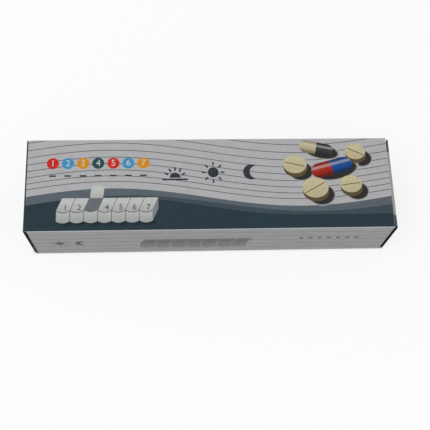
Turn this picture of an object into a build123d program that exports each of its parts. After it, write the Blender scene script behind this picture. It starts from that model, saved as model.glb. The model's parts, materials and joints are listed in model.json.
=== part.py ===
from build123d import *
import os

# A closed reverse tuck carton of printed board, lying on its bottom panel,
# with a weekly pill organizer inside. X runs along the carton, Y from its front panel
# to its back panel, Z up. The origin is under the carton's middle.

# Carton panels
board = 0.5
crease_round = 0.4
crease_gap = 0.05
end_standoff = 1.8
glue_flap_height = 12.0
glue_flap_inset = 4.0

# End flaps and their tucked tongues
flap_side_gap = 0.2
tuck_clearance = 1.4
left_rest_gap = 0.15
tongue_length = 9.8
tongue_shoulder = 7.5
tongue_corner = 4.0

# Dust flaps, tapered beside the crease of the end flap that covers them
dust_length = 16.0
dust_crease_space = 0.6
dust_shoulder = 2.0
dust_tongue_gap = 1.6
dust_corner = 2.0

# Organizer tray
day_count = 7
pitch = 21.5
tray_depth = 29.2
scallop = 2.4
organizer_height = 20.5
wall = 1.2
partition = 1.2
tray_floor = 1.2
pocket_round = 2.0
corner_round = 1.0
base_round = 0.8
notch_width = 9.0
notch_depth = 0.7
notch_height = 1.4
ledge_clearance = 0.2

# Organizer hinges
hinge_inset = 2.4
hinge_drop = 0.15
knuckle_width = 3.2
knuckle_radius = 1.9
barrel_radius = 1.7
barrel_gap = 0.2
pin_radius = 0.9
pin_clearance = 0.05
pin_length = 1.3

# Organizer lids
lid_thickness = 1.4
lid_seat_gap = 0.1
lid_gap = 0.5
lid_setback = 0.4
lid_back_gap = 0.4
lid_edge_round = 0.4
plug_depth = 1.2
plug_wall = 1.0
plug_clearance = 0.3

# Room round the organizer in the carton: at its ends, before and behind it, over and under it
left_space = 41.9
right_end_gap = 1.8
swing_clearance = 1.0
back_space = 6.05
head_space = 7.25
rest_gap = 0.05

# Organizer sizes worked out
scallop_radius = (pitch**2 / 4 + scallop**2) / (2 * scallop)
scallops_half = day_count * pitch / 2
tray_half = scallops_half + knuckle_width / 2
tray_length = 2 * tray_half
rim_height = organizer_height - lid_thickness - lid_seat_gap
hinge_height = organizer_height - barrel_radius - hinge_drop
hinge_line = tray_depth - hinge_inset
ledge_height = hinge_height - knuckle_radius - ledge_clearance
ledge_depth = hinge_inset + knuckle_radius + ledge_clearance
pocket_back = tray_depth - ledge_depth - wall
pocket_half = (pitch - partition) / 2
barrel_half = (pitch - knuckle_width) / 2 - barrel_gap
lid_half = (pitch - lid_gap) / 2
lid_back = hinge_line - knuckle_radius - lid_back_gap

# Carton sizes worked out from the organizer and the room round it
carton_length = 2 * (end_standoff + board) + left_space + tray_length + right_end_gap
carton_width = 2 * board + swing_clearance + hinge_line + hinge_height + back_space
carton_height = 2 * board + rest_gap + tray_depth + head_space
half_length = carton_length / 2
half_width = carton_width / 2
side_end = half_length - end_standoff
panel_width = carton_width - 2 * crease_round
flap_width = carton_width - 2 * flap_side_gap
fold_height = board + tuck_clearance
crease_start = board + crease_gap
flap_reach = carton_height - fold_height - crease_start
tongue_width = flap_width - 2 * tongue_shoulder
dust_reach = carton_height - 2 * board - dust_crease_space - fold_height - dust_tongue_gap
dust_taper = dust_length - dust_shoulder

# The left end flap is pushed in at its fold until it nearly rests on the side panels.
# On its plane x runs across the carton and y up to the crease.
left_push = end_standoff - board - left_rest_gap
left_drop = ((carton_height - fold_height) ** 2 - left_push**2) ** 0.5
left_flap_plane = Plane((-half_length, 0, carton_height), x_dir=(0, 1, 0), z_dir=(left_drop, 0, left_push))

# Where the organizer lies in the carton
tray_x = side_end - board - right_end_gap - tray_half
tray_y = swing_clearance + hinge_line + hinge_height + board - half_width
tray_z = board + rest_gap

# The organizer lies on its scalloped front with its base to the carton's back panel.
# On this plane x runs along the tray, y up from the scallops to the hinge, and z from the base to the lids.
tray_plane = Plane((tray_x, tray_y, tray_z), x_dir=(1, 0, 0), z_dir=(0, -1, 0))

os.makedirs("parts", exist_ok=True)


def scallop_edge(inset, across):
    """Height of the front, set in by inset, at a distance across from a compartment's middle."""
    return scallop_radius - ((scallop_radius - inset) ** 2 - across**2) ** 0.5


def compartment_outline(inset, half, back):
    """Outline of one compartment: straight back and sides, and a front parallel to the scallop."""
    corner = scallop_edge(inset, half)
    with BuildSketch() as outline:
        with BuildLine():
            ThreePointArc((-half, corner), (0, inset), (half, corner))
            Polyline((half, corner), (half, back), (-half, back), (-half, corner))
        make_face()
    return outline.sketch


def write(piece, name):
    """Labels a finished piece and writes it under its own name."""
    piece.part.label = name
    export_step(piece.part, f"parts/{name}.step")


# Carton sleeve: four panels and the glued seam.
# The top panel runs on to the left crease, the bottom panel to the right one.
with BuildPart() as carton_sleeve:
    with BuildSketch(Plane.YZ.offset(-side_end)):
        with Locations((0, carton_height / 2)):
            RectangleRounded(carton_width, carton_height, crease_round)
            Rectangle(carton_width - 2 * board, carton_height - 2 * board, mode=Mode.SUBTRACT)
    extrude(amount=2 * side_end)
    with Locations((-side_end, 0, carton_height)):
        Box(end_standoff, panel_width, board, align=(Align.MAX, Align.CENTER, Align.MAX))
    with Locations((side_end, 0, 0)):
        Box(end_standoff, panel_width, board, align=(Align.MIN, Align.CENTER, Align.MIN))
    with Locations((0, half_width - board, board)):
        Box(
            2 * (side_end - glue_flap_inset),
            board,
            glue_flap_height,
            align=(Align.CENTER, Align.MAX, Align.MIN),
        )
write(carton_sleeve, "carton_sleeve")

# End flaps: the left one hangs from the top panel, the right one stands on the bottom panel.
with BuildPart() as left_end_flap:
    with BuildSketch(left_flap_plane):
        with Locations((0, -crease_start)):
            Rectangle(flap_width, flap_reach, align=(Align.CENTER, Align.MAX))
    extrude(amount=board)
write(left_end_flap, "left_end_flap")

with BuildPart() as right_end_flap:
    with BuildSketch(Plane.YZ.offset(half_length - board)):
        with Locations((0, crease_start)):
            Rectangle(flap_width, flap_reach, align=(Align.CENTER, Align.MIN))
    extrude(amount=board)
write(right_end_flap, "right_end_flap")

# Tuck tongues: the left one lies over the bottom panel, the right one under the top panel.
with BuildPart() as left_tuck_tongue:
    with BuildSketch(Plane.XY.offset(fold_height)):
        with Locations((crease_start + left_push - half_length, 0)):
            Rectangle(tongue_length, tongue_width, align=(Align.MIN, Align.CENTER))
    extrude(amount=board)
    fillet(left_tuck_tongue.edges().filter_by(Axis.Z).group_by(Axis.X)[-1], radius=tongue_corner)
write(left_tuck_tongue, "left_tuck_tongue")

with BuildPart() as right_tuck_tongue:
    with BuildSketch(Plane.XY.offset(carton_height - fold_height - board)):
        with Locations((half_length - crease_start, 0)):
            Rectangle(tongue_length, tongue_width, align=(Align.MAX, Align.CENTER))
    extrude(amount=board)
    fillet(right_tuck_tongue.edges().filter_by(Axis.Z).group_by(Axis.X)[0], radius=tongue_corner)
write(right_tuck_tongue, "right_tuck_tongue")

# Dust flaps: drawn from the crease of the side panel inwards, and from the end flap's crease
# to the tongue. At the left end that is down from the top panel, at the right end up from the bottom.
for end, end_side, crease_edge in (
    ("left", -1, carton_height - board - dust_crease_space),
    ("right", 1, board + dust_crease_space),
):
    for panel, panel_side in (("front", -1), ("back", 1)):
        with BuildPart() as dust_flap:
            with BuildSketch(Plane.YZ.offset(end_side * side_end)):
                with BuildLine():
                    Polyline(
                        (panel_side * (half_width - crease_start), crease_edge),
                        (panel_side * (half_width - dust_shoulder), crease_edge),
                        (panel_side * (half_width - dust_length), crease_edge + end_side * dust_taper),
                        (panel_side * (half_width - dust_length), crease_edge + end_side * dust_reach),
                        (panel_side * (half_width - crease_start), crease_edge + end_side * dust_reach),
                        close=True,
                    )
                make_face()
            extrude(amount=-end_side * board)
            tip_edges = dust_flap.edges().filter_by(Axis.X).sort_by(Axis.Y)
            tip_edges = tip_edges[-2:] if panel_side < 0 else tip_edges[:2]
            fillet(tip_edges, radius=dust_corner)
        write(dust_flap, f"{end}_{panel}_dust_flap")

# Pill tray: scalloped block with one pocket a day, a hinge ledge along the back
# and a knuckle at each partition.
with BuildPart(tray_plane) as pill_tray:
    with BuildSketch(tray_plane):
        with BuildLine():
            for day in range(day_count):
                valley = day * pitch - scallops_half
                ThreePointArc((valley, scallop), (valley + pitch / 2, 0), (valley + pitch, scallop))
            Polyline(
                (scallops_half, scallop),
                (tray_half, scallop),
                (tray_half, tray_depth),
                (-tray_half, tray_depth),
                (-tray_half, scallop),
                (-scallops_half, scallop),
            )
        make_face()
    extrude(amount=rim_height)
    fillet(pill_tray.edges().filter_by(Axis.Y), radius=corner_round)
    fillet(pill_tray.faces().sort_by(Axis.Y)[-1].outer_wire().edges(), radius=base_round)
    with BuildSketch(tray_plane.offset(rim_height)):
        with GridLocations(pitch, 0, day_count, 1):
            add(compartment_outline(wall, pocket_half, pocket_back))
    extrude(amount=tray_floor - rim_height, mode=Mode.SUBTRACT)
    pocket_floors = pill_tray.faces().filter_by(Axis.Y).group_by(Axis.Y)[-2]
    fillet(pocket_floors.edges(), radius=pocket_round)
    with Locations((0, tray_depth, ledge_height)):
        Box(
            tray_length,
            ledge_depth,
            rim_height - ledge_height,
            align=(Align.CENTER, Align.MAX, Align.MIN),
            mode=Mode.SUBTRACT,
        )
    with Locations((0, tray_depth - wall, 0)):
        with GridLocations(pitch, 0, day_count, 1):
            Box(
                2 * pocket_half,
                ledge_depth - wall,
                ledge_height - tray_floor,
                align=(Align.CENTER, Align.MAX, Align.MIN),
                mode=Mode.SUBTRACT,
            )
    with GridLocations(pitch, 0, day_count, 1):
        with Locations((0, 0, rim_height)):
            Box(
                notch_width,
                2 * notch_depth,
                notch_height,
                align=(Align.CENTER, Align.CENTER, Align.MAX),
                mode=Mode.SUBTRACT,
            )
    with Locations((0, hinge_line, hinge_height)):
        with GridLocations(pitch, 0, day_count + 1, 1):
            Cylinder(knuckle_radius, knuckle_width, rotation=(0, 90, 0))
            Box(
                knuckle_width,
                2 * knuckle_radius,
                hinge_height - ledge_height + tray_floor,
                align=(Align.CENTER, Align.CENTER, Align.MAX),
            )
            Cylinder(
                pin_radius + pin_clearance,
                knuckle_width,
                rotation=(0, 90, 0),
                mode=Mode.SUBTRACT,
            )
write(pill_tray, "pill_tray")

# Lids: a plate over each compartment with a shallow plug below it,
# and a barrel with two pins in the knuckles.
for day in range(day_count):
    day_x = tray_x + (day - (day_count - 1) / 2) * pitch
    lid_plane = Plane((day_x, tray_y, tray_z), x_dir=(1, 0, 0), z_dir=(0, -1, 0))
    with BuildPart(lid_plane) as lid:
        with BuildSketch(lid_plane.offset(organizer_height - lid_thickness)):
            add(compartment_outline(lid_setback, lid_half, lid_back))
        extrude(amount=lid_thickness)
        fillet(lid.faces().sort_by(Axis.Y)[0].edges(), radius=lid_edge_round)
        with BuildSketch(lid_plane.offset(organizer_height - lid_thickness)):
            plug_inset = wall + plug_clearance
            plug_half = pocket_half - plug_clearance
            plug_back = pocket_back - plug_clearance
            add(compartment_outline(plug_inset, plug_half, plug_back))
            add(
                compartment_outline(plug_inset + plug_wall, plug_half - plug_wall, plug_back - plug_wall),
                mode=Mode.SUBTRACT,
            )
        extrude(amount=-plug_depth)
        with Locations((0, hinge_line, organizer_height - lid_thickness)):
            Box(
                2 * barrel_half,
                hinge_line - lid_back + lid_edge_round,
                lid_thickness - lid_edge_round,
                align=(Align.CENTER, Align.MAX, Align.MIN),
            )
        with Locations((0, hinge_line, hinge_height)):
            Cylinder(barrel_radius, 2 * barrel_half, rotation=(0, 90, 0))
            Cylinder(pin_radius, 2 * (barrel_half + barrel_gap + pin_length), rotation=(0, 90, 0))
    write(lid, f"lid_{day + 1}")
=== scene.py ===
import json
import math

import bpy
from mathutils import Matrix, Vector


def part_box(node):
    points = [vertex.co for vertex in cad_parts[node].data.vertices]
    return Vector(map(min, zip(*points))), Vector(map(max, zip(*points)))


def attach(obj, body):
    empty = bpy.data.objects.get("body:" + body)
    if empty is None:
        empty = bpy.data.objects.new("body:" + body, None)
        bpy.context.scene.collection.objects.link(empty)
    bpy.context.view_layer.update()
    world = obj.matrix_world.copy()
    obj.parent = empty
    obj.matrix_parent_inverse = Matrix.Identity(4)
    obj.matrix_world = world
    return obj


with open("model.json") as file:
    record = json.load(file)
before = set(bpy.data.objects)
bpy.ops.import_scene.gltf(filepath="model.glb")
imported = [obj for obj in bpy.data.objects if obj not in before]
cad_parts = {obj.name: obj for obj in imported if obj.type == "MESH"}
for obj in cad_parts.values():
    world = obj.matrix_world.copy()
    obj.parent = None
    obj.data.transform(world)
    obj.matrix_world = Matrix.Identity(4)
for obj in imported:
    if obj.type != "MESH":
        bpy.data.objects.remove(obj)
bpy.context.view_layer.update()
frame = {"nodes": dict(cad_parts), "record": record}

# Lengths are written in millimetres, and meshes and places are turned into metres.
MM = 0.001


def box_mm(node):
    """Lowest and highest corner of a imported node, in millimetres."""
    return [[value / MM for value in corner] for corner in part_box(node)]


# Places and names taken from the frame
sleeve_low, sleeve_high = box_mm("carton_sleeve")
left_crease = sleeve_low[0]
half_length, half_width, carton_height = sleeve_high
side_end = box_mm("right_front_dust_flap")[1][0]
tongue_half_width = box_mm("right_tuck_tongue")[1][1]
lid_names = sorted(name for name in frame["nodes"] if name.startswith("lid_"))
day_count = len(lid_names)
bodies = frame["record"]["behaviour"]["bodies"]
body_of = {node: body for body, nodes in bodies.items() for node in nodes}

# How far the left end flap leans in, as a share of its height
left_flap_low, left_flap_high = box_mm("left_end_flap")
right_flap_low, right_flap_high = box_mm("right_end_flap")
flap_board = right_flap_high[0] - right_flap_low[0]
left_push = left_flap_high[0] - left_flap_low[0] - flap_board
left_lean = left_push / (left_flap_high[2] - left_flap_low[2])

# Board and ink
ink_step = 0.004
print_depth = 0.1
# Depth down the right end flap's cuts, beside its tongue, of painted shade in the print's colour
flap_cut_shade = 0.3
# Reach of the painted shade over the end flaps' inner edges, and the share of it that is solid
flap_edge_shade_reach = 2.2
flap_edge_shade_solid_share = 0.6
# Reach from the creases of their paler rubbed wear and painted highlight
crease_wear_and_highlight = 0.55

# Thin skins over the creases of the flaps
skin = 0.12
skin_inset = 0.02
skin_overlap = 0.1

# Gloss and relief
print_specular = 0.12
plastic_specular = 0.5
plastic_ior = 1.49
bump_strength = 0.5

# Camera, fitted to the carton's corners in the photograph
camera_place = (-26.6, -170.4, 454.9)
camera_target = (1.14, -18.4, 37.5)
camera_roll = math.radians(9.0)
camera_lens = 69.04
camera_sensor = 36.0
camera_clip = 10.0

# Floor, which loses its glow between two distances from the carton's foot
floor_reach = 3000.0
floor_drop = 0.1
floor_roughness = 0.9
floor_glow_share = 0.78
contact_inside = 0.4
contact_outside = 1.0

# Light
surround_strength = 0.62
lamp_place = (-500.0, -400.0, 1250.0)
lamp_size = 1200.0
lamp_power = 8.0

# Fineness of printed outlines
round_steps = 36
half_round_steps = 18
small_round_steps = 20
moon_steps = 24
scallop_steps = 8
wave_step = 2.0
point_digits = 4
same_point = 0.0001
thinnest_cell = 0.001

# Stripes on the top panel: the middle, the height and the crest of each one's upper edge
wave_length = 209.0
grey_wave = (-7.95, 5.62, -55.0)
dusk_wave = (-11.62, 5.15, -47.6)
slate_wave = (-12.92, 5.76, -56.3)
slate_level_from = 52.0

# Fine lines, which follow the grey stripe with growing gaps
line_count = 9
line_width = 0.4
line_first = 4.1
line_spacing = 3.2
line_spread = 0.105

# Margins that the print leaves at the creases, and the strip along the left one
crease_margin = 0.4
end_margin = 0.15
crease_strip = 0.75

# Counts of ink films: under the dots, signs and shadows, under the picture, and in one printed pill
over_lines = 2
over_stripes = 4
pill_films = 3

# Numbered dots in the upper left corner
dot_row = (-86.5, 12.6)
dot_pitch = 8.2
dot_radius = 3.3
dot_numeral = 5.2
tick_drop = 7.4
tick_size = (3.6, 0.9)

# Signs for the times of day, in the middle
sign_row = 6.6
sign_places = (-20.0, 1.0, 22.0)
sign_radius = 3.0
ray_reach = (4.1, 6.2)
ray_width = 0.9
sun_ray_count = 8
sunrise_ray_count = 5
sunrise_margin_share = 0.8
horizon_size = (14.0, 1.0)
moon_share = 1.5
moon_arc = (55.0, 305.0)
moon_bite_share = 0.62

# Printed picture of the organizer, over the stripes at the left
picture_corner = (-84.0, -21.0)
picture_pitch = 7.4
picture_length = day_count * picture_pitch
picture_front = 6.2
picture_lid = 7.0
picture_scallop = 1.1
picture_lean = 0.42
picture_gap = 0.35
picture_open_day = 2
picture_lid_edge = (0.0, -0.45)
picture_raised = 6.4
picture_raised_lean = 0.12
picture_numeral = 4.6
picture_numeral_shift = (0.7, 0.7)
picture_shadow = (1.8, -1.6)

# Printed tablets at the right: place, radius and turn of the score
tablets = (
    (46.5, 11.0, 6.6, -14.0),
    (57.0, -3.0, 7.3, 30.0),
    (77.0, -1.0, 6.2, 8.0),
    (81.0, 18.5, 5.8, -25.0),
)
tablet_squash = 0.82
tablet_side_shift = (0.3, -2.3)
score_length_share = 1.72
score_width = 0.45

# Printed capsules beside them: place, half length, radius, turn and colours
capsules = (
    (67.0, 9.0, 11.8, 4.3, 15.0, "red", "blue"),
    (59.0, 20.6, 9.6, 3.7, -12.0, "cream", "slate"),
)
capsule_shadow_share = 1.15
pill_shadow = (2.9, -1.9)
shadow_grow_share = 1.1

# Front and back panels
side_line_count = 5
side_line_start = 6.5
side_line_spacing = 6.3
side_line_width = 0.45
side_line_wave = 0.5
ghost_corner = (-40.0, 9.0)
ghost_pitch = 8.6
ghost_front = 7.0
ghost_lid = 6.4
side_dot_row = (50.0, 21.5)
side_dot_pitch = 5.2
side_dot_radius = 1.3
side_sign_places = (-84.0, -72.0)
side_sign_row = 17.5
side_sign_share = 0.8

# Dark print of the ends that runs over the side panels, made near black as painted shade of the gaps at the
# ends: its width at the foot and at the top
left_end_print_and_shade = (1.3, 0.15)
right_end_print_and_shade = (0.3, 0.3)
end_print_inset = 0.02

# Lid numerals
lid_numeral = 9.0
lid_numeral_drop = 2.0
lid_numeral_rise = 0.12


def srgb(red, green, blue):
    """A display colour of 0 to 255 a channel, as the linear colour that shaders take."""
    def linear(value):
        value /= 255
        return value / 12.92 if value <= 0.04045 else ((value + 0.055) / 1.055) ** 2.4
    return (linear(red), linear(green), linear(blue), 1.0)


def scaled(colour, share):
    """A colour made lighter or darker."""
    return tuple(min(1.0, value * share) for value in colour[:3]) + (1.0,)


# Floor and light
white = (1.0, 1.0, 1.0, 1.0)
floor_colour = srgb(186, 186, 186)

# Board, stripes and lines
field_colour = srgb(176, 176, 178)
board_colour = srgb(181, 178, 170)
# Paler crease colour: rubbed wear and a painted highlight of the rounded folds
crease_wear_and_highlight_colour = srgb(191, 196, 201)
line_colour = srgb(84, 86, 90)
grey_colour = srgb(89, 98, 105)
dusk_colour = srgb(62, 73, 82)
slate_colour = srgb(38, 54, 63)
# Darker slate: the printed shadow of the picture, and painted shade at the end flaps' inner edges
dark_slate_colour = scaled(slate_colour, share=0.6)
# Print of the ends over the side panels, made near black as painted shade of the gaps at the ends
end_print_and_shade_colour = srgb(33, 31, 30)
faint_colour = srgb(126, 126, 130)

# Dots, signs and the pale picture on the front panel
mark_colour = srgb(48, 52, 60)
side_mark_colour = srgb(104, 104, 108)
pale_colour = srgb(200, 200, 198)
ghost_colour = srgb(138, 138, 141)
ghost_dark_colour = srgb(122, 122, 126)
dot_colours = {
    "green": srgb(38, 72, 76),
    "amber": srgb(208, 138, 24),
    "blue": srgb(62, 142, 188),
    "red": srgb(198, 42, 34),
}
dot_order = ("red", "blue", "amber", "green", "red", "blue", "amber")

# Printed pills
capsule_colours = {
    "red": srgb(160, 40, 30),
    "blue": srgb(26, 74, 142),
    "cream": srgb(186, 176, 142),
    "slate": srgb(52, 58, 60),
}
shine_colour = srgb(206, 204, 200)
tablet_colour = srgb(196, 186, 150)
tablet_side_colour = srgb(92, 82, 58)
score_colour = srgb(92, 78, 58)
shadow_colour = srgb(44, 42, 38)

# Printed picture of the organizer
picture_lid_colour = srgb(190, 192, 190)
picture_wall_colour = srgb(178, 179, 179)
picture_open_colour = srgb(104, 108, 112)
picture_seam_colour = srgb(88, 92, 96)
picture_end_colour = srgb(128, 131, 134)

# The organizer inside
tray_colour = srgb(226, 226, 223)
lid_colour = srgb(206, 210, 212)
numeral_colour = srgb(52, 60, 70)


# Sockets of the mix node that serve colours: the factor, the two colours and the result
mix_inputs = (0, 6, 7)
mix_output = 2


class Shader:
    """A procedural material being put together, with its node tree and main shader."""

    def __init__(self, name, specular=print_specular):
        self.material = bpy.data.materials.new(name)
        self.material.use_nodes = True
        self.tree = self.material.node_tree
        self.main = self.tree.nodes["Principled BSDF"]
        self.main.inputs["Specular IOR Level"].default_value = specular
        self.coordinates = self.node("ShaderNodeTexCoord").outputs

    def node(self, kind, **settings):
        """A new node with the given settings."""
        made = self.tree.nodes.new(kind)
        for key, value in settings.items():
            setattr(made, key, value)
        return made

    def feed(self, socket, value):
        """Links an output to a socket, or writes a plain value into it."""
        if isinstance(value, bpy.types.NodeSocket):
            self.tree.links.new(value, socket)
        else:
            socket.default_value = value

    def math(self, operation, first, second=0.0):
        """One step of arithmetic."""
        made = self.node("ShaderNodeMath", operation=operation)
        self.feed(made.inputs[0], first)
        self.feed(made.inputs[1], second)
        return made.outputs[0]

    def mix(self, factor, first, second):
        """A colour between two others."""
        made = self.node("ShaderNodeMix", data_type="RGBA")
        for socket, value in zip(mix_inputs, (factor, first, second)):
            self.feed(made.inputs[socket], value)
        return made.outputs[mix_output]

    def ramp(self, value, start, end, low=0.0, high=1.0):
        """A smooth step from low to high as a value goes from start to end."""
        made = self.node("ShaderNodeMapRange", interpolation_type="SMOOTHSTEP")
        for socket, entry in zip(made.inputs, (value, start, end, low, high)):
            self.feed(socket, entry)
        return made.outputs[0]

    def noise(self, feature, detail=4.0, stretch=(1.0, 1.0, 1.0)):
        """Soft noise whose features have about the given size in millimetres."""
        stretched = self.node("ShaderNodeMapping")
        self.feed(stretched.inputs["Vector"], self.coordinates["Object"])
        stretched.inputs["Scale"].default_value = stretch
        made = self.node("ShaderNodeTexNoise")
        self.feed(made.inputs["Vector"], stretched.outputs[0])
        made.inputs["Scale"].default_value = 1 / (feature * MM)
        made.inputs["Detail"].default_value = detail
        return made.outputs[0]

    def parted(self, coordinates, axis):
        """One of a set of coordinates."""
        made = self.node("ShaderNodeSeparateXYZ")
        self.feed(made.inputs[0], self.coordinates[coordinates])
        return made.outputs[axis]

    def axis(self, axis):
        """One coordinate of the surface point, in millimetres."""
        return self.math("DIVIDE", self.parted("Object", axis), MM)

    def own(self, axis):
        """One coordinate of a printed shape's own map, from -1 to 1 over its length or width."""
        return self.parted("UV", axis)

    def mottled(self, colour, amount, feature):
        """A colour that varies a little, as ink on board or pigment in plastic does."""
        spread = self.ramp(self.noise(feature), start=0.3, end=0.7)
        return self.mix(spread, scaled(colour, 1 - amount), scaled(colour, 1 + amount))

    def bump(self, height, depth):
        """Fine relief of the given depth in millimetres."""
        made = self.node("ShaderNodeBump")
        made.inputs["Strength"].default_value = bump_strength
        made.inputs["Distance"].default_value = depth * MM
        self.feed(made.inputs["Height"], height)
        self.feed(self.main.inputs["Normal"], made.outputs[0])

    def finish(self, colour, sheen, feature):
        """Sets the colour and a roughness that varies between two values, and gives the material."""
        smooth, rough = sheen
        self.feed(self.main.inputs["Base Color"], colour)
        roughness = self.ramp(self.noise(feature), start=0.25, end=0.75, low=smooth, high=rough)
        self.feed(self.main.inputs["Roughness"], roughness)
        return self.material


def fibre_colour(shader):
    """Bare board: cloudy pulp with fine fibres and a few dark flecks."""
    pulp = shader.mottled(board_colour, amount=0.05, feature=6.0)
    fibres = shader.noise(feature=0.5, detail=5.0, stretch=(0.35, 1.0, 1.0))
    fibres = shader.ramp(fibres, start=0.55, end=0.75)
    streaked = shader.mix(fibres, pulp, scaled(board_colour, share=0.84))
    flecks = shader.ramp(shader.noise(feature=0.7, detail=2.0), start=0.72, end=0.76)
    return shader.mix(flecks, streaked, scaled(board_colour, share=0.6))


def sleeve_material():
    """Board printed outside in light grey, bare inside and at its cuts, paler at the creases in patches:
    rubbed wear and a painted highlight of the rounded folds.
    """
    shader = Shader("printed_board_sleeve")
    side_depth = shader.math("SUBTRACT", half_width, shader.math("ABSOLUTE", shader.axis("Y")))
    height = shader.axis("Z")
    height_depth = shader.math("MINIMUM", height, shader.math("SUBTRACT", carton_height, height))
    depth = shader.math("MINIMUM", side_depth, height_depth)
    from_crease = shader.math("MAXIMUM", side_depth, height_depth)
    # Paler along the creases, in patches: rubbed wear and a painted highlight of the rounded folds
    rubbed = shader.ramp(from_crease, start=crease_wear_and_highlight, end=0.0)
    patches = shader.ramp(shader.noise(feature=3.0), start=0.3, end=0.6, low=0.35)
    worn = shader.math("MULTIPLY", rubbed, patches)
    field = shader.mottled(field_colour, amount=0.03, feature=4.0)
    outside = shader.mix(worn, field, crease_wear_and_highlight_colour)
    inside = shader.math("GREATER_THAN", depth, print_depth)
    shader.bump(shader.noise(feature=0.6, detail=3.0), depth=0.02)
    colour = shader.mix(inside, outside, fibre_colour(shader))
    return shader.finish(colour, sheen=(0.5, 0.68), feature=5.0)


def flap_material(name, face, lean=0.0, cut_shade_depth=0.0, edge_shade_reach=0.0):
    """A flap at the ends: printed dark on its outer face and bare inside.

    It leans in by a share of its height under the crease at the top panel. Beside its tongue, the print's
    colour can go down its cuts by a depth, as painted shade of the gap at the ends. Over a reach, its inner
    face darkens towards its front and back edges, as painted shade of that gap.
    """
    shader = Shader(name)
    below = shader.math("SUBTRACT", carton_height, shader.axis("Z"))
    outer = shader.math("SUBTRACT", face, shader.math("MULTIPLY", below, lean))
    depth = shader.math("SUBTRACT", outer, shader.math("ABSOLUTE", shader.axis("X")))
    over = shader.math("ABSOLUTE", shader.axis("Y"))
    # Painted shade: beside the tongue the print's colour goes down the cuts, where the gap at the ends is
    # in shade
    beside = shader.math("GREATER_THAN", over, tongue_half_width)
    print_and_shade_depth = shader.math("ADD", print_depth, shader.math("MULTIPLY", beside, cut_shade_depth))
    inside = shader.math("GREATER_THAN", depth, print_and_shade_depth)
    scuffs = shader.noise(feature=2.2, detail=6.0, stretch=(1.0, 0.3, 1.0))
    scuffs = shader.ramp(scuffs, start=0.66, end=0.78, high=0.35)
    ink = shader.mottled(slate_colour, amount=0.07, feature=2.5)
    outside = shader.mix(scuffs, ink, grey_colour)
    bare = fibre_colour(shader)
    # Painted shade: the inner face darkens towards the front and back edges, where the gap beside the side
    # panels is in shade
    if edge_shade_reach:
        shade_solid_from = half_width - flap_edge_shade_solid_share * edge_shade_reach
        edge = shader.ramp(over, start=half_width - edge_shade_reach, end=shade_solid_from)
        bare = shader.mix(edge, bare, dark_slate_colour)
    shader.bump(shader.noise(feature=0.6, detail=3.0), depth=0.02)
    return shader.finish(shader.mix(inside, outside, bare), sheen=(0.45, 0.62), feature=5.0)


def board_material():
    """Bare board of the tucked tongues."""
    shader = Shader("plain_board_fibres")
    shader.bump(shader.noise(feature=0.5, detail=4.0), depth=0.03)
    return shader.finish(fibre_colour(shader), sheen=(0.7, 0.85), feature=2.0)


def ink_material(name, colour):
    """Flat ink on board, with slight mottling and rubbed specks."""
    shader = Shader(name)
    specks = shader.ramp(shader.noise(feature=0.9, detail=5.0), start=0.7, end=0.78, high=0.25)
    ink = shader.mottled(colour, amount=0.05, feature=3.0)
    worn = shader.mix(specks, ink, scaled(colour, share=1.5))
    shader.bump(shader.noise(feature=0.6, detail=3.0), depth=0.015)
    return shader.finish(worn, sheen=(0.48, 0.64), feature=4.0)


def shadow_material():
    """Printed soft shadow: dark in the middle and fading to the field."""
    shader = Shader("ink_soft_shadow")
    squares = [shader.math("MULTIPLY", shader.own(axis), shader.own(axis)) for axis in "XY"]
    reach = shader.math("SQRT", shader.math("ADD", *squares))
    fade = shader.ramp(reach, start=0.82, end=1.0)
    ink = shader.mottled(shadow_colour, amount=0.1, feature=2.0)
    return shader.finish(shader.mix(fade, ink, field_colour), sheen=(0.5, 0.65), feature=4.0)


def capsule_material(name, colour):
    """Printed half of a capsule: a shine along its upper side and darker rims."""
    brightest, shine_middle = 0.15, 0.42
    shader = Shader(name)
    side = shader.own("Y")
    from_bright = shader.math("ABSOLUTE", shader.math("SUBTRACT", side, brightest))
    rim = shader.ramp(from_bright, start=0.2, end=1.1)
    ink = shader.mottled(colour, amount=0.06, feature=1.5)
    shaded = shader.mix(rim, ink, scaled(colour, share=0.35))
    from_shine = shader.math("ABSOLUTE", shader.math("SUBTRACT", side, shine_middle))
    shine = shader.ramp(from_shine, start=0.34, end=0.0, high=0.42)
    return shader.finish(shader.mix(shine, shaded, shine_colour), sheen=(0.42, 0.56), feature=4.0)


def tablet_material(name, colour):
    """Printed tablet: chalky, speckled and a little darker to its lower side."""
    shader = Shader(name)
    specks = shader.ramp(shader.noise(feature=0.8, detail=3.0), start=0.62, end=0.72, high=0.5)
    ink = shader.mottled(colour, amount=0.06, feature=2.0)
    chalk = shader.mix(specks, ink, scaled(colour, share=0.72))
    lower = shader.ramp(shader.own("Y"), start=0.9, end=-1.0, high=0.3)
    shaded = shader.mix(lower, chalk, scaled(colour, share=0.6))
    return shader.finish(shaded, sheen=(0.5, 0.65), feature=4.0)


def picture_material(name, colour):
    """Printed wall or lid of the organizer's picture: darker to its lower edge."""
    shader = Shader(name)
    lower = shader.ramp(shader.own("Y"), start=0.6, end=-1.2, high=0.55)
    ink = shader.mottled(colour, amount=0.03, feature=2.0)
    shaded = shader.mix(lower, ink, scaled(colour, share=0.66))
    return shader.finish(shaded, sheen=(0.5, 0.65), feature=4.0)


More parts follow.
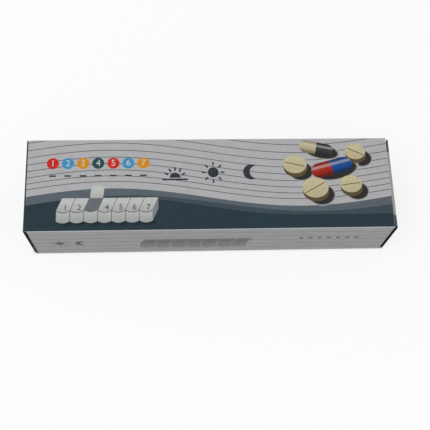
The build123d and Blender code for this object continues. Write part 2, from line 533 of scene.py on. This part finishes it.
def plastic_material(name, colour, sheen, clearness):
    """Moulded plastic: faint flow marks, fine pitting and an uneven satin sheen."""
    shader = Shader(name, plastic_specular)
    shader.main.inputs["IOR"].default_value = plastic_ior
    shader.main.inputs["Transmission Weight"].default_value = clearness
    flow = shader.noise(feature=7.0, detail=3.0, stretch=(0.4, 1.0, 1.0))
    flow = shader.ramp(flow, start=0.35, end=0.65)
    tint = shader.mix(flow, scaled(colour, share=0.96), scaled(colour, share=1.02))
    shader.bump(shader.noise(feature=0.35, detail=3.0), depth=0.012)
    return shader.finish(tint, sheen, feature=2.5)


def on_top(along, over, height):
    """A place over the top panel."""
    return (along, over, carton_height + height)


def on_front(along, up, height):
    """A place before the front panel."""
    return (along, -half_width - height, up)


def on_back(along, up, height):
    """A place behind the back panel, seen from behind."""
    return (-along, half_width + height, up)


def add_object(name, data):
    """A new object in the scene."""
    made = bpy.data.objects.new(name, data)
    bpy.context.collection.objects.link(made)
    return made


def add_piece(name, corners, faces, material, body):
    """A new mesh piece with the given material, that rides on a body."""
    mesh = bpy.data.meshes.new(name)
    mesh.from_pydata([[value * MM for value in corner] for corner in corners], [], faces)
    mesh.materials.append(material)
    piece = add_object(name, mesh)
    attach(piece, body)
    return piece


def anticlockwise(cell):
    """The cell's points in anticlockwise order, with repeated points left out."""
    kept = [point for index, point in enumerate(cell) if math.dist(point, cell[index - 1]) > same_point]
    area = sum(a[0] * b[1] - b[0] * a[1] for a, b in zip(kept, kept[1:] + kept[:1]))
    return kept if area > 0 else kept[::-1]


def plate(
    name, cells, place, material, level=0, own_map=None,
    body="carton", film=ink_step,
):
    """A thin closed solid over flat cells of a panel, such as a film of ink.

    Cells are polygons of panel points. Level counts the films that it lies over, and film is the
    thickness of one. Own_map turns a panel point into the shape's own coordinates, for materials that
    are shaded along or across it.
    """
    points = {}
    faces = []
    for cell in cells:
        cell = anticlockwise(cell)
        if len(cell) > 2:
            keys = [(round(u, point_digits), round(v, point_digits)) for u, v in cell]
            faces.append([points.setdefault(key, len(points)) for key in keys])
    edges = {edge for face in faces for edge in zip(face, face[1:] + face[:1])}
    count = len(points)
    flat = list(points)
    corners = [place(u, v, height) for height in (0.0, film * (level + 1)) for u, v in flat]
    solid = [face[::-1] for face in faces]
    solid += [[index + count for index in face] for face in faces]
    solid += [[a, b, b + count, a + count] for a, b in sorted(edges) if (b, a) not in edges]
    piece = add_piece(name, corners, solid, material, body)
    if own_map:
        layer = piece.data.uv_layers.new(name="own_map")
        for loop in piece.data.loops:
            layer.data[loop.index].uv = own_map(*flat[loop.vertex_index % count])


def shifted(point, step):
    """A point moved by a step."""
    return (point[0] + step[0], point[1] + step[1])


def turned(centre, point, turn):
    """A point given from a centre, after a turn in degrees."""
    cosine, sine = math.cos(math.radians(turn)), math.sin(math.radians(turn))
    return (
        centre[0] + point[0] * cosine - point[1] * sine,
        centre[1] + point[0] * sine + point[1] * cosine,
    )


def own_map_of(centre, radii, turn=0.0):
    """Turns a panel point into a shape's own coordinates, from -1 to 1 over its length and width."""
    def own(u, v):
        along, over = turned((0.0, 0.0), (u - centre[0], v - centre[1]), -turn)
        return (along / radii[0], over / radii[1])
    return own


def sweep(start, end, steps):
    """Angles from one to another in even steps."""
    return [start + (end - start) * index / steps for index in range(steps + 1)]


def oval_points(centre, radii, turn, angles):
    """Points of a turned ellipse at the given angles in degrees."""
    points = [(radii[0] * math.cos(math.radians(a)), radii[1] * math.sin(math.radians(a))) for a in angles]
    return [turned(centre, point, turn) for point in points]


def oval(centre, radii, turn=0.0, steps=round_steps):
    """Outline of an ellipse."""
    return oval_points(centre, radii, turn, sweep(0, 360, steps)[:-1])


def disc(centre, radius, steps=round_steps):
    """Outline of a circle."""
    return oval(centre, (radius, radius), steps=steps)


def bar(centre, size, turn=0.0):
    """Outline of a rectangle about a centre."""
    length, width = size
    corners = ((-length, -width), (length, -width), (length, width), (-length, width))
    return [turned(centre, (u / 2, v / 2), turn) for u, v in corners]


def stripe(lower, upper, start, end, floor, ceiling):
    """Cells between two curves over a panel's length, kept between its edges."""
    count = math.ceil((end - start) / wave_step)
    cells = []
    for index in range(count):
        pair = [start + (end - start) * step / count for step in (index, index + 1)]
        low = [min(max(lower(u), floor), ceiling) for u in pair]
        high = [min(max(upper(u), floor), ceiling) for u in pair]
        cells.append([(pair[0], low[0]), (pair[1], low[1]), (pair[1], high[1]), (pair[0], high[0])])
    return [cell for cell in cells if max(v for u, v in cell) - min(v for u, v in cell) > thinnest_cell]


def line(curve, width, start, end, floor, ceiling):
    """Cells of a line of even width along a curve."""
    edges = (lambda u: curve(u) - width / 2, lambda u: curve(u) + width / 2)
    return stripe(*edges, start, end, floor, ceiling)


def wave(u, middle, height, crest):
    """The height of one long wave at a place along the panel."""
    return middle + height * math.cos(2 * math.pi * (u - crest) / wave_length)


def grey_edge(u):
    """The upper edge of the grey stripe."""
    return wave(u, *grey_wave)


def dusk_edge(u):
    """The upper edge of the dusk stripe."""
    return wave(u, *dusk_wave)


def slate_edge(u):
    """The upper edge of the slate stripe, which covers the dusk one at the left and ends level."""
    return min(dusk_edge(u), wave(min(u, slate_level_from), *slate_wave))


def numeral_cells(text, centre, size):
    """Faces of a plain numeral of about the given height."""
    curve = bpy.data.curves.new("numeral_outline", "FONT")
    curve.body = text
    curve.size = size * MM
    curve.align_x = "CENTER"
    curve.align_y = "CENTER"
    holder = bpy.data.objects.new("numeral_outline", curve)
    mesh = bpy.data.meshes.new_from_object(holder)
    place = [shifted(centre, (vertex.co.x / MM, vertex.co.y / MM)) for vertex in mesh.vertices]
    cells = [[place[index] for index in polygon.vertices] for polygon in mesh.polygons]
    bpy.data.objects.remove(holder)
    bpy.data.curves.remove(curve)
    bpy.data.meshes.remove(mesh)
    return cells


def sun_rays(centre, scale, angles):
    """Bars round a sun, at the given angles."""
    inner, outer = [reach * scale for reach in ray_reach]
    size = (outer - inner, ray_width * scale)
    return [bar(turned(centre, ((inner + outer) / 2, 0.0), angle), size, angle) for angle in angles]


def sun_cells(centre, scale=1.0):
    """A whole sun with rays all round."""
    return [disc(centre, sign_radius * scale)] + sun_rays(centre, scale, sweep(0, 360, sun_ray_count)[:-1])


def sunrise_cells(centre, scale=1.0):
    """Half a sun over a horizon. Its outer rays keep a share of the rays' spacing from the horizon."""
    radius = sign_radius * scale
    low = (centre[0], centre[1] - radius)
    half_disc = oval_points(low, (radius, radius), 0.0, sweep(0, 180, half_round_steps))
    spaces = sunrise_ray_count - 1
    first = 180 * sunrise_margin_share / (spaces + 2 * sunrise_margin_share)
    rays = sun_rays(low, scale, sweep(first, 180 - first, spaces))
    length, width = [side * scale for side in horizon_size]
    return [half_disc] + rays + [bar((low[0], low[1] - width), (length, width))]


def moon_cells(centre, scale=1.0):
    """A crescent, as a row of cells between its outer and inner arc."""
    radius = moon_share * sign_radius * scale
    outer = oval_points(centre, (radius, radius), 0.0, sweep(*moon_arc, moon_steps))
    bite = (centre[0] + moon_bite_share * radius, centre[1])
    tips = (outer[0], outer[-1])
    first, last = [math.degrees(math.atan2(v - bite[1], u - bite[0])) % 360 for u, v in tips]
    reach = math.dist(bite, outer[0])
    inner = oval_points(bite, (reach, reach), 0.0, sweep(first, last, moon_steps))
    return [[outer[i], outer[i + 1], inner[i + 1], inner[i]] for i in range(moon_steps)]


def print_top_stripes():
    """Fine wavy lines over the light field, and three dark stripes along the front crease."""
    start, end = left_crease + crease_strip, side_end - end_margin
    low, high = crease_margin - half_width, half_width - crease_margin
    lines = []
    for index in range(line_count):
        rise = line_first + line_spacing * index + line_spread * index**2
        lines += line(lambda u: grey_edge(u) + rise, line_width, start, end, low, high)
    plate("top_fine_lines", lines, on_top, ink_material("ink_lines", line_colour))
    stripes = (
        ("top_grey_stripe", grey_edge, ink_material("ink_grey", grey_colour)),
        ("top_dusk_stripe", dusk_edge, ink_material("ink_dusk", dusk_colour)),
        ("top_slate_stripe", slate_edge, slate_ink),
    )
    for level, (name, edge, ink) in enumerate(stripes, start=1):
        plate(name, stripe(lambda u: low, edge, start, end, low, high), on_top, ink, level)
    strip = bar((left_crease + crease_strip / 2, 0.0), (crease_strip, 2 * high))
    plate("left_crease_print", [strip], on_top, slate_ink)


def print_day_dots():
    """A row of seven coloured dots numbered 1 to 7, with a short tick under each."""
    dots = {colour: [] for colour in dot_colours}
    numerals, ticks = [], []
    for day, colour in enumerate(dot_order):
        centre = (dot_row[0] + day * dot_pitch, dot_row[1])
        dots[colour].append(disc(centre, dot_radius))
        numerals += numeral_cells(str(day + 1), centre, dot_numeral)
        ticks.append(bar((centre[0], centre[1] - tick_drop), tick_size))
    for colour, cells in dots.items():
        ink = ink_material(f"ink_{colour}", dot_colours[colour])
        plate(f"day_dots_{colour}", cells, on_top, ink, over_lines)
    plate("day_dot_numerals", numerals, on_top, ink_material("ink_pale", pale_colour), over_lines + 1)
    plate("day_dot_ticks", ticks, on_top, mark_ink, over_lines)


def print_day_signs():
    """Signs for morning, noon and night in the middle of the top panel."""
    morning, noon, night = [(place, sign_row) for place in sign_places]
    cells = sunrise_cells(morning) + sun_cells(noon) + moon_cells(night)
    plate("time_of_day_signs", cells, on_top, mark_ink, over_lines)


def picture_cell(corner, pitch, day, low, high, gap=0.0, lean=0.0, scallop=0.0):
    """One compartment of a printed organizer, between two heights of its slanted drawing.

    Its lower edge bulges down by the scallop, as a parabola.
    """
    left = corner[0] + day * pitch + gap / 2
    right = left + pitch - gap
    bottom = []
    for index in range(scallop_steps + 1):
        share = index / scallop_steps
        bulge = scallop * 4 * share * (1 - share)
        bottom.append((left + (right - left) * share, corner[1] + low - bulge))
    shift = lean * (high - low)
    return bottom + [(right + shift, corner[1] + high), (left + shift, corner[1] + high)]


def row_map(low, height):
    """The own map of a row of the picture, which is shaded over its height alone."""
    return own_map_of((0.0, low + height / 2), (picture_length, height / 2))


def print_organizer_picture():
    """A plain picture of an organizer with seven scalloped compartments, one lid raised."""
    layout = (picture_corner, picture_pitch)
    lid_top = picture_front + picture_lid
    seams, walls, lids, numerals = [], [], [], []
    for day in range(day_count):
        wall_span = (day, 0.0, picture_front)
        lid_span = (day, picture_front, lid_top)
        seams.append(picture_cell(*layout, *wall_span, scallop=picture_scallop))
        seams.append(picture_cell(*layout, *lid_span, lean=picture_lean))
        walls.append(picture_cell(*layout, *wall_span, picture_gap, 0.0, picture_scallop))
        lid = picture_cell(*layout, *lid_span, picture_gap, picture_lean, picture_scallop)
        if day == picture_open_day:
            opening = lid
        else:
            lids.append(lid)
            middle = [sum(values) / len(lid) for values in zip(*lid)]
            numerals += numeral_cells(str(day + 1), shifted(middle, picture_numeral_shift), picture_numeral)
    shadow = [[shifted(point, picture_shadow) for point in wall] for wall in walls]
    lid_edges = [[shifted(point, picture_lid_edge) for point in lid] for lid in lids]
    foot = shifted(picture_corner, (picture_length, 0.0))
    back_foot = shifted(foot, (picture_lean * picture_lid, picture_lid))
    rise = (0.0, picture_front)
    end_wall = [foot, back_foot, shifted(back_foot, rise), shifted(foot, rise)]
    raised_corner = (
        picture_corner[0] + picture_lean * picture_lid + picture_raised_lean * picture_raised,
        picture_corner[1] + lid_top,
    )
    raised = picture_cell(
        raised_corner, picture_pitch, picture_open_day, picture_raised, 0.0,
        picture_gap, picture_raised_lean, -picture_scallop,
    )
    lid_ink = picture_material("ink_lids", picture_lid_colour)
    films = (
        (0, "shadow", shadow, ink_material("ink_picture_shadow", dark_slate_colour), None),
        (1, "seams", seams, ink_material("ink_seams", picture_seam_colour), None),
        (1, "end_wall", [end_wall], ink_material("ink_end_wall", picture_end_colour), None),
        (2, "walls", walls, picture_material("ink_walls", picture_wall_colour),
            row_map(picture_corner[1], picture_front)),
        (3, "lid_edges", lid_edges, ink_material("ink_lid_edges", picture_seam_colour), None),
        (4, "open_compartment", [opening], ink_material("ink_open", picture_open_colour), None),
        (4, "lids", lids, lid_ink, row_map(picture_corner[1] + picture_front, picture_lid)),
        (4, "raised_lid", [raised], lid_ink, row_map(raised_corner[1], picture_raised)),
        (5, "numerals", numerals, mark_ink, None),
    )
    for film, name, cells, ink, own_map in films:
        plate(f"picture_{name}", cells, on_top, ink, over_stripes + film, own_map)


def pill_level(order):
    """The lowest film of a printed pill, over all the pills' shadows and the pills before it."""
    return over_lines + len(tablets) + len(capsules) + pill_films * order


def print_pill_shadow(name, centre, radii, turn, order):
    """A soft shadow to the lower right of a printed pill."""
    place = shifted(centre, pill_shadow)
    grown = [radius * shadow_grow_share for radius in radii]
    cells = [oval(place, grown, turn)]
    plate(name, cells, on_top, shadow_ink, over_lines + order, own_map_of(place, grown, turn))


def print_tablets():
    """Round scored tablets, each with its side, its face and the score across it."""
    side_ink = tablet_material("ink_tablet_side", tablet_side_colour)
    face_ink = tablet_material("ink_tablet_face", tablet_colour)
    score_ink = ink_material("ink_score", score_colour)
    for index, (u, v, radius, turn) in enumerate(tablets):
        name = f"tablet_{index + 1}"
        level = pill_level(index)
        radii = (radius, radius * tablet_squash)
        lower = shifted((u, v), tablet_side_shift)
        print_pill_shadow(f"{name}_shadow", lower, radii, 0.0, index)
        rim = oval_points((u, v), radii, 0.0, (0, 180))
        side = rim + oval_points(lower, radii, 0.0, sweep(180, 360, half_round_steps))
        plate(f"{name}_side", [side], on_top, side_ink, level, own_map_of(lower, radii))
        face = oval((u, v), radii)
        plate(f"{name}_face", [face], on_top, face_ink, level + 1, own_map_of((u, v), radii))
        score = bar((u, v), (score_length_share * radius, score_width), turn)
        plate(f"{name}_score", [score], on_top, score_ink, level + 2)


def print_capsules():
    """Two-coloured capsules, each half with its shine and dark rim."""
    inks = {}
    for name, colour in capsule_colours.items():
        inks[name] = capsule_material(f"ink_capsule_{name}", colour)
    for order, (u, v, half, radius, turn, left, right) in enumerate(capsules, start=len(tablets)):
        name = f"capsule_{order - len(tablets) + 1}"
        print_pill_shadow(f"{name}_shadow", (u, v), (half, radius * capsule_shadow_share), turn, order)
        own_map = own_map_of((u, v), (half, radius), turn)
        for side, colour, sign, start in (("left", left, -1, 90), ("right", right, 1, -90)):
            bend = turned((u, v), (sign * (half - radius), 0.0), turn)
            cap = oval_points(bend, (radius, radius), turn, sweep(start, start + 180, half_round_steps))
            joint = [turned((u, v), (0.0, sign * edge * radius), turn) for edge in (1, -1)]
            plate(f"{name}_{side}", [cap + joint], on_top, inks[colour], pill_level(order), own_map)


def side_lines(place, name):
    """Faint lines along a side panel."""
    start, end = end_margin - side_end, side_end - end_margin
    low, high = crease_margin, carton_height - crease_margin
    lines = []
    for index in range(side_line_count):
        middle = side_line_start + side_line_spacing * index
        lines += line(
            lambda u: wave(u, middle, side_line_wave, 0.0), side_line_width, start, end, low, high
        )
    plate(name, lines, place, faint_ink)


def side_end_prints_and_shade(place, name, ends):
    """The dark print of the ends where it runs over a side panel, at each of its ends, in a near black that
    is painted shade of the gaps there.
    """
    low, high = crease_margin, carton_height - crease_margin
    cells = []
    for sign, (foot, head) in zip((-1, 1), ends):
        start = sign * (side_end - end_print_inset)
        cells.append([(start, low), (start - sign * foot, low), (start - sign * head, high), (start, high)])
    plate(name, cells, place, end_print_and_shade_ink, level=1)


def print_front():
    """The front panel: faint lines, a pale row of compartments, small signs and a row of dots."""
    side_lines(on_front, "front_faint_lines")
    side_end_prints_and_shade(on_front, "front_end_prints_and_shade", (left_end_print_and_shade, right_end_print_and_shade))
    layout = (ghost_corner, ghost_pitch)
    lid_top = ghost_front + ghost_lid
    walls, lids, dots = [], [], []
    for day in range(day_count):
        walls.append(picture_cell(*layout, day, 0.0, ghost_front, picture_gap, 0.0, picture_scallop))
        lid_shape = (picture_gap, picture_lean, picture_scallop)
        lids.append(picture_cell(*layout, day, ghost_front, lid_top, *lid_shape))
        centre = (side_dot_row[0] + day * side_dot_pitch, side_dot_row[1])
        dots.append(disc(centre, side_dot_radius, small_round_steps))
    plate("front_ghost_walls", walls, on_front, ink_material("ink_ghost", ghost_colour), level=1)
    plate("front_ghost_lids", lids, on_front, ink_material("ink_ghost_dark", ghost_dark_colour), level=2)
    sun, moon = [(place, side_sign_row) for place in side_sign_places]
    signs = sun_cells(sun, side_sign_share) + moon_cells(moon, side_sign_share)
    plate("front_signs", signs, on_front, side_mark_ink, level=1)
    plate("front_dots", dots, on_front, side_mark_ink, level=1)


def print_back():
    """The back panel: faint lines, and the dark ends as on the front."""
    side_lines(on_back, "back_faint_lines")
    side_end_prints_and_shade(on_back, "back_end_prints_and_shade", (right_end_print_and_shade, left_end_print_and_shade))


def make_flap_looks():
    """The material of each flap at the ends that is printed outside, with painted shade at the end flaps'
    edges.
    """
    # The dust flaps' dark outside is print, and also painted shade of the gaps at the ends
    dust_look = flap_material("dark_board_dust_flap", side_end)
    looks = {name: dust_look for name in frame["nodes"] if name.endswith("dust_flap")}
    for side, lean, cut_shade_depth in (("left", left_lean, 0.0), ("right", 0.0, flap_cut_shade)):
        look = flap_material(f"dark_board_{side}_flap", half_length, lean, cut_shade_depth, flap_edge_shade_reach)
        looks[f"{side}_end_flap"] = look
    return looks


def dress_nodes():
    """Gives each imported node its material."""
    board_look = board_material()
    tray_look = plastic_material("tray_moulded", tray_colour, sheen=(0.32, 0.46), clearness=0.0)
    lid_look = plastic_material("lid_frosted", lid_colour, sheen=(0.36, 0.5), clearness=0.25)
    looks = {"carton_sleeve": sleeve_material(), "pill_tray": tray_look} | flap_looks
    for name, node in frame["nodes"].items():
        look = lid_look if name in lid_names else looks.get(name, board_look)
        node.data.materials.clear()
        node.data.materials.append(look)


def fold_skin(name, low, high):
    """A thin skin of board from a flap's root to its crease, which keeps the print whole as it opens."""
    corners = [(x, y, z) for z in (low[2], high[2]) for y in (low[1], high[1]) for x in (low[0], high[0])]
    faces = [(0, 2, 3, 1), (4, 5, 7, 6), (0, 1, 5, 4), (1, 3, 7, 5), (3, 2, 6, 7), (2, 0, 4, 6)]
    add_piece(f"{name}_fold", corners, faces, flap_looks[name], body_of[name])


def make_fold_skins():
    """A skin at the crease of every flap that hangs on the carton."""
    for name in flap_looks:
        low, high = box_mm(name)
        if name.startswith("left"):
            low[0], high[0] = low[0] + skin_inset, low[0] + skin_inset + skin
        else:
            low[0], high[0] = high[0] - skin_inset - skin, high[0] - skin_inset
        if "front" in name:
            low[1], high[1] = skin_inset - half_width, low[1] + skin_overlap
        elif "back" in name:
            low[1], high[1] = high[1] - skin_overlap, half_width - skin_inset
        elif name.startswith("left"):
            low[2], high[2] = high[2] - skin_overlap, carton_height - skin_inset
        else:
            low[2], high[2] = skin_inset, low[2] + skin_overlap
        fold_skin(name, low, high)


def number_lids():
    """A raised numeral on each lid."""
    look = ink_material("lid_numeral_ink", numeral_colour)
    for name in lid_names:
        low, high = box_mm(name)
        centre = ((low[0] + high[0]) / 2, (low[2] + high[2]) / 2 - lid_numeral_drop)
        def on_lid(u, v, height, face=low[1]):
            return (u, face - height, v)
        cells = numeral_cells(name.split("_")[1], centre, lid_numeral)
        plate(f"{name}_numeral", cells, on_lid, look, body=name, film=lid_numeral_rise)


def white_rays(tree):
    """Tells the rays that see a white background: the camera's, and those of gloss and clear plastic."""
    path = tree.nodes.new("ShaderNodeLightPath")
    seen = path.outputs["Is Camera Ray"]
    for ray in ("Is Glossy Ray", "Is Transmission Ray"):
        either = tree.nodes.new("ShaderNodeMath")
        either.operation = "MAXIMUM"
        tree.links.new(seen, either.inputs[0])
        tree.links.new(path.outputs[ray], either.inputs[1])
        seen = either.outputs[0]
    return seen


def floor_material():
    """Pale paint that shows white beside the carton, and takes the carton's shadow."""
    shader = Shader("floor_white", specular=0.0)
    shader.main.inputs["Roughness"].default_value = floor_roughness
    seen = white_rays(shader.tree)
    beside = 0.0
    for axis, half in (("X", half_length), ("Y", half_width)):
        reach = shader.math("ABSOLUTE", shader.axis(axis))
        away = shader.ramp(reach, start=half - contact_inside, end=half + contact_outside)
        beside = shader.math("MAXIMUM", beside, away)
    glow_share = shader.math("MULTIPLY", shader.math("MULTIPLY", seen, beside), floor_glow_share)
    paint = shader.mottled(floor_colour, amount=0.02, feature=80.0)
    shader.feed(shader.main.inputs["Base Color"], shader.mix(seen, paint, white))
    glow = shader.node("ShaderNodeEmission")
    blend = shader.node("ShaderNodeMixShader")
    for socket, value in zip(blend.inputs, (glow_share, shader.main.outputs[0], glow.outputs[0])):
        shader.feed(socket, value)
    shader.feed(shader.tree.nodes["Material Output"].inputs["Surface"], blend.outputs[0])
    return shader.material


def make_floor():
    """A plain floor just under the carton."""
    reach = floor_reach * MM
    corners = ((-reach, -reach), (reach, -reach), (reach, reach), (-reach, reach))
    mesh = bpy.data.meshes.new("floor")
    mesh.from_pydata([(x, y, -floor_drop * MM) for x, y in corners], [], [(0, 1, 2, 3)])
    mesh.materials.append(floor_material())
    floor = add_object("floor", mesh)


def make_light():
    """Soft even studio light: a pale surround and one wide lamp over the front."""
    world = bpy.data.worlds.new("surround")
    bpy.context.scene.world = world
    world.use_nodes = True
    tree = world.node_tree
    lighting = tree.nodes["Background"]
    lighting.inputs["Strength"].default_value = surround_strength
    shown = tree.nodes.new("ShaderNodeBackground")
    for background in (lighting, shown):
        background.inputs["Color"].default_value = white
    choose = tree.nodes.new("ShaderNodeMixShader")
    for socket, output in zip(choose.inputs, (white_rays(tree), lighting.outputs[0], shown.outputs[0])):
        tree.links.new(output, socket)
    tree.links.new(choose.outputs[0], tree.nodes["World Output"].inputs["Surface"])
    lamp_data = bpy.data.lights.new("wide_lamp", "AREA")
    lamp_data.shape = "SQUARE"
    lamp_data.size = lamp_size * MM
    lamp_data.energy = lamp_power
    lamp = add_object("wide_lamp", lamp_data)
    lamp.location = [value * MM for value in lamp_place]
    lamp.rotation_euler = lamp.location.to_track_quat("Z", "Y").to_euler()


def make_camera():
    """The photograph's camera."""
    place, target = Vector(camera_place) * MM, Vector(camera_target) * MM
    back = (place - target).normalized()
    right = Vector((0.0, 0.0, 1.0)).cross(back).normalized()
    up = back.cross(right)
    turn = Matrix.Rotation(camera_roll, 3, back)
    right, up = turn @ right, turn @ up
    data = bpy.data.cameras.new("camera")
    data.lens = camera_lens
    data.sensor_width = camera_sensor
    data.clip_start = camera_clip * MM
    camera = add_object("camera", data)
    camera.matrix_world = Matrix.Translation(place) @ Matrix((right, up, back)).transposed().to_4x4()
    bpy.context.scene.camera = camera


# Inks that several pieces share
slate_ink = ink_material("ink_slate", slate_colour)
# Near black print of the ends, partly painted shade of the gaps there
end_print_and_shade_ink = ink_material("ink_ends_and_painted_shade", end_print_and_shade_colour)
mark_ink = ink_material("ink_mark", mark_colour)
side_mark_ink = ink_material("ink_side_mark", side_mark_colour)
faint_ink = ink_material("ink_faint", faint_colour)
shadow_ink = shadow_material()

# The object
flap_looks = make_flap_looks()
dress_nodes()
make_fold_skins()
print_top_stripes()
print_day_dots()
print_day_signs()
print_organizer_picture()
print_tablets()
print_capsules()
print_front()
print_back()
number_lids()

# The studio
make_floor()
make_light()
make_camera()
bpy.context.scene.view_settings.view_transform = "Standard"
